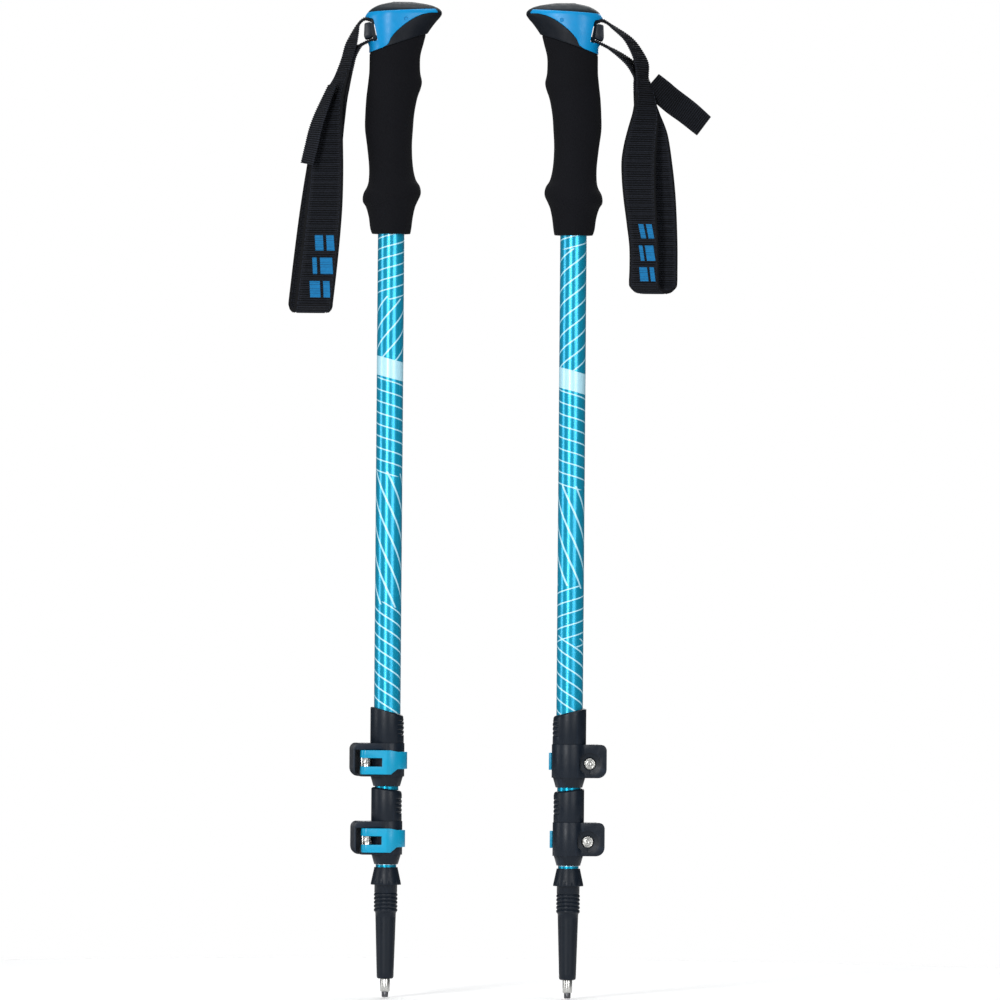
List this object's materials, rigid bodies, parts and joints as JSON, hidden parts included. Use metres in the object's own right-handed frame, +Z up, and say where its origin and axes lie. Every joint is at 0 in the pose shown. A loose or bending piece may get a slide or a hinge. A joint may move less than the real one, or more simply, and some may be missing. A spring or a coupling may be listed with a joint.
{
  "type": "trekking poles",
  "caption": "Pair of telescoping trekking poles with foam grips, wrist straps, lever locks and carbide tips, shown at their shortest.",
  "frame": {"origin": "centre of the end face of the left pole's tip", "axes": "+Z up along the left tube, +X from the left pole to the right one, -Y the side that the left pole's levers face"},
  "size_m": [0.2868, 0.0352, 0.6768],
  "materials": {
    "black_rubber": "matte soft rubber",
    "blue_plastic": "satin blue",
    "dark_plastic": "satin dark grey",
    "black_plastic": "satin black",
    "webbing": "ribbed webbing",
    "foam": "matte closed-cell foam",
    "printed_tube": "gloss metallic blue with thin pale lines",
    "blue_tube": "gloss metallic blue",
    "blue_lever": "satin anodised blue",
    "steel": "bright steel",
    "guide_plastic": "natural white plastic",
    "tip_plastic": "satin black",
    "carbide": "sintered dark carbide"
  },
  "bodies": {
    "upper_left": {"head_cap_left": "black_rubber", "head_shell_left": "blue_plastic", "head_body_left": "dark_plastic", "strap_pin_left": "steel", "strap_anchor_left": "webbing", "grip_foam_left": "foam", "upper_tube_left": "printed_tube", "upper_collar_left": "black_plastic", "upper_clamp_left": "black_plastic", "upper_saddle_left": "steel", "upper_barrel_left": "steel"},
    "wedge_left": {"strap_wedge_left": "black_plastic"},
    "strap_left": {"strap_loop_left": "webbing", "strap_tail_left": "webbing"},
    "upper_lever_left": {"upper_lever_left": "blue_lever"},
    "upper_screw_left": {"upper_screw_left": "steel"},
    "middle_guide_left": {"middle_guide_left": "guide_plastic"},
    "middle_left": {"middle_tube_left": "blue_tube", "lower_collar_left": "black_plastic", "lower_clamp_left": "black_plastic", "lower_saddle_left": "steel", "lower_barrel_left": "steel"},
    "lower_lever_left": {"lower_lever_left": "blue_lever"},
    "lower_screw_left": {"lower_screw_left": "steel"},
    "lower_guide_left": {"lower_guide_left": "guide_plastic"},
    "lower_left": {"lower_tube_left": "blue_tube", "tip_sleeve_left": "tip_plastic", "tip_ferrule_left": "steel", "tip_insert_left": "carbide"},
    "upper_right": {"head_cap_right": "black_rubber", "head_shell_right": "blue_plastic", "head_body_right": "dark_plastic", "strap_pin_right": "steel", "strap_anchor_right": "webbing", "grip_foam_right": "foam", "upper_tube_right": "printed_tube", "upper_collar_right": "black_plastic", "upper_clamp_right": "black_plastic", "upper_saddle_right": "steel", "upper_barrel_right": "steel"},
    "wedge_right": {"strap_wedge_right": "black_plastic"},
    "strap_right": {"strap_loop_right": "webbing", "strap_tail_right": "webbing"},
    "upper_lever_right": {"upper_lever_right": "blue_lever"},
    "upper_screw_right": {"upper_screw_right": "steel"},
    "middle_guide_right": {"middle_guide_right": "guide_plastic"},
    "middle_right": {"middle_tube_right": "blue_tube", "lower_collar_right": "black_plastic", "lower_clamp_right": "black_plastic", "lower_saddle_right": "steel", "lower_barrel_right": "steel"},
    "lower_lever_right": {"lower_lever_right": "blue_lever"},
    "lower_screw_right": {"lower_screw_right": "steel"},
    "lower_guide_right": {"lower_guide_right": "guide_plastic"},
    "lower_right": {"lower_tube_right": "blue_tube", "tip_sleeve_right": "tip_plastic", "tip_ferrule_right": "steel", "tip_insert_right": "carbide"}
  },
  "joints": [
    {"name": "middle_slide_left", "type": "slide", "parent": "upper_left", "child": "middle_guide_left", "axis": [0, 0, -1], "range_m": [0, 0.335]},
    {"name": "middle_turn_left", "type": "hinge", "parent": "middle_guide_left", "child": "middle_left", "pos_m": [0, 0, 0.4], "axis": [0, 0, 1], "continuous": true},
    {"name": "lower_slide_left", "type": "slide", "parent": "middle_left", "child": "lower_guide_left", "axis": [0, 0, -1], "range_m": [0, 0.335]},
    {"name": "lower_turn_left", "type": "hinge", "parent": "lower_guide_left", "child": "lower_left", "pos_m": [0, 0, 0.3], "axis": [0, 0, 1], "continuous": true},
    {"name": "upper_lever_hinge_left", "type": "hinge", "parent": "upper_left", "child": "upper_lever_left", "pos_m": [-0.014, -0.0101, 0.1598], "axis": [0, 0, -1], "range_deg": [0, 130]},
    {"name": "upper_screw_turn_left", "type": "hinge", "parent": "upper_left", "child": "upper_screw_left", "pos_m": [-0.014, 0.00465, 0.1598], "axis": [0, 1, 0], "continuous": true},
    {"name": "lower_lever_hinge_left", "type": "hinge", "parent": "middle_left", "child": "lower_lever_left", "pos_m": [-0.013, -0.0091, 0.1067], "axis": [0, 0, -1], "range_deg": [0, 130]},
    {"name": "lower_screw_turn_left", "type": "hinge", "parent": "middle_left", "child": "lower_screw_left", "pos_m": [-0.013, 0.00465, 0.1067], "axis": [0, 1, 0], "continuous": true},
    {"name": "wedge_slide_left", "type": "slide", "parent": "upper_left", "child": "wedge_left", "axis": [-1, 0, 0], "range_m": [0, 0.0025]},
    {"name": "strap_swing_left", "type": "hinge", "parent": "upper_left", "child": "strap_left", "pos_m": [-0.0288, 0, 0.641], "axis": [0, 1, 0], "range_deg": [0, 90]},
    {"name": "middle_slide_right", "type": "slide", "parent": "upper_right", "child": "middle_guide_right", "axis": [0, 0, -1], "range_m": [0, 0.335]},
    {"name": "middle_turn_right", "type": "hinge", "parent": "middle_guide_right", "child": "middle_right", "pos_m": [0.124, 0, 0.4], "axis": [0, 0, 1], "continuous": true},
    {"name": "lower_slide_right", "type": "slide", "parent": "middle_right", "child": "lower_guide_right", "axis": [0, 0, -1], "range_m": [0, 0.335]},
    {"name": "lower_turn_right", "type": "hinge", "parent": "lower_guide_right", "child": "lower_right", "pos_m": [0.124, 0, 0.3], "axis": [0, 0, 1], "continuous": true},
    {"name": "upper_lever_hinge_right", "type": "hinge", "parent": "upper_right", "child": "upper_lever_right", "pos_m": [0.138, 0.0101, 0.1598], "axis": [0, 0, -1], "range_deg": [0, 130]},
    {"name": "upper_screw_turn_right", "type": "hinge", "parent": "upper_right", "child": "upper_screw_right", "pos_m": [0.138, -0.00465, 0.1598], "axis": [0, -1, 0], "continuous": true},
    {"name": "lower_lever_hinge_right", "type": "hinge", "parent": "middle_right", "child": "lower_lever_right", "pos_m": [0.137, 0.0091, 0.1067], "axis": [0, 0, -1], "range_deg": [0, 130]},
    {"name": "lower_screw_turn_right", "type": "hinge", "parent": "middle_right", "child": "lower_screw_right", "pos_m": [0.137, -0.00465, 0.1067], "axis": [0, -1, 0], "continuous": true},
    {"name": "wedge_slide_right", "type": "slide", "parent": "upper_right", "child": "wedge_right", "axis": [1, 0, 0], "range_m": [0, 0.0025]},
    {"name": "strap_swing_right", "type": "hinge", "parent": "upper_right", "child": "strap_right", "pos_m": [0.1685, 0, 0.6288], "axis": [0, -1, 0], "range_deg": [0, 90]},
    {"name": "right_pole_apart", "type": "slide", "parent": "upper_left", "child": "upper_right", "axis": [1, 0, 0], "range_m": [0, 0.3]}
  ]
}
